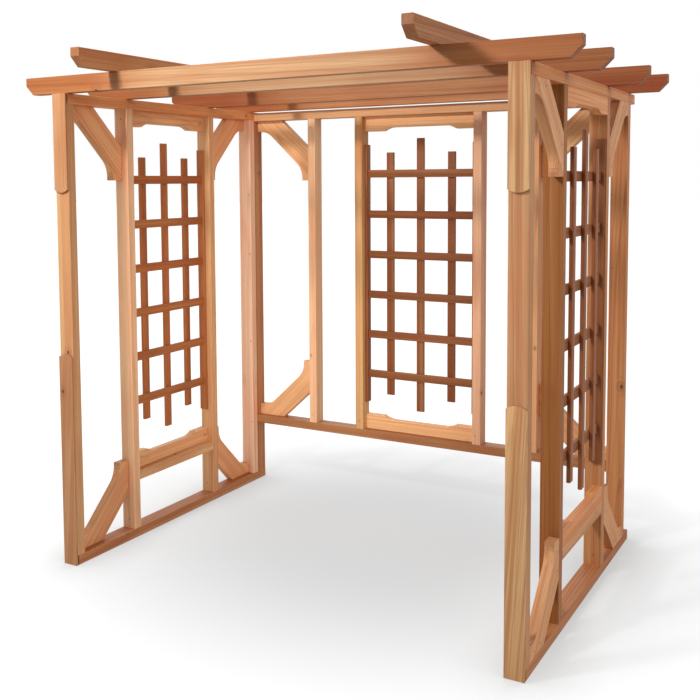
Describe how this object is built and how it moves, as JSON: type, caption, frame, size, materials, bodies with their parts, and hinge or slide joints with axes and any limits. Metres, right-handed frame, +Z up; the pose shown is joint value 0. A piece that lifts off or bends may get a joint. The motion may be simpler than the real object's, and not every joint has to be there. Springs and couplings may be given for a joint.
{
  "type": "garden pergola",
  "caption": "Free-standing cedar pergola, open in front, with framed lattice panels on its sides and back, curved corner braces, and rafters under long cross beams.",
  "frame": {"origin": "on the floor, at the centre of the pergola's outline in plan", "axes": "+X to the right as seen from the open front, +Y from the open front to the back panel, +Z up"},
  "size_m": [2.44, 1.938, 2.225],
  "materials": {
    "cedar_beams": "sawn cedar, unfinished",
    "cedar_slats": "sawn cedar, unfinished",
    "cedar_shaped": "sawn cedar, unfinished",
    "cedar_trims": "sawn cedar, unfinished",
    "cedar_plates": "sawn cedar, unfinished",
    "cedar_uprights": "sawn cedar, unfinished"
  },
  "bodies": {
    "root": {"back_bottom_plate": "cedar_plates", "back_corner_braces": "cedar_shaped", "back_lattice": "cedar_slats", "back_left_brace_stud": "cedar_uprights", "back_left_trellis_stud": "cedar_uprights", "back_right_brace_stud": "cedar_uprights", "back_right_trellis_stud": "cedar_uprights", "back_shaped_boards": "cedar_shaped", "back_top_plate": "cedar_plates", "left_back_post": "cedar_uprights", "left_back_stud": "cedar_uprights", "left_bottom_plate": "cedar_plates", "left_corner_braces": "cedar_shaped", "left_corner_post": "cedar_uprights", "left_cross_beam": "cedar_beams", "left_front_post": "cedar_uprights", "left_front_stud": "cedar_uprights", "left_lattice": "cedar_slats", "left_mid_rail": "cedar_plates", "left_post_trims": "cedar_trims", "left_shaped_boards": "cedar_shaped", "left_top_plate": "cedar_plates", "rafter_1": "cedar_beams", "rafter_2": "cedar_beams", "rafter_3": "cedar_beams", "rafter_4": "cedar_beams", "right_back_post": "cedar_uprights", "right_back_stud": "cedar_uprights", "right_bottom_plate": "cedar_plates", "right_corner_braces": "cedar_shaped", "right_corner_post": "cedar_uprights", "right_cross_beam": "cedar_beams", "right_front_post": "cedar_uprights", "right_front_stud": "cedar_uprights", "right_lattice": "cedar_slats", "right_mid_rail": "cedar_plates", "right_post_trims": "cedar_trims", "right_shaped_boards": "cedar_shaped", "right_top_plate": "cedar_plates"}
  },
  "joints": []
}
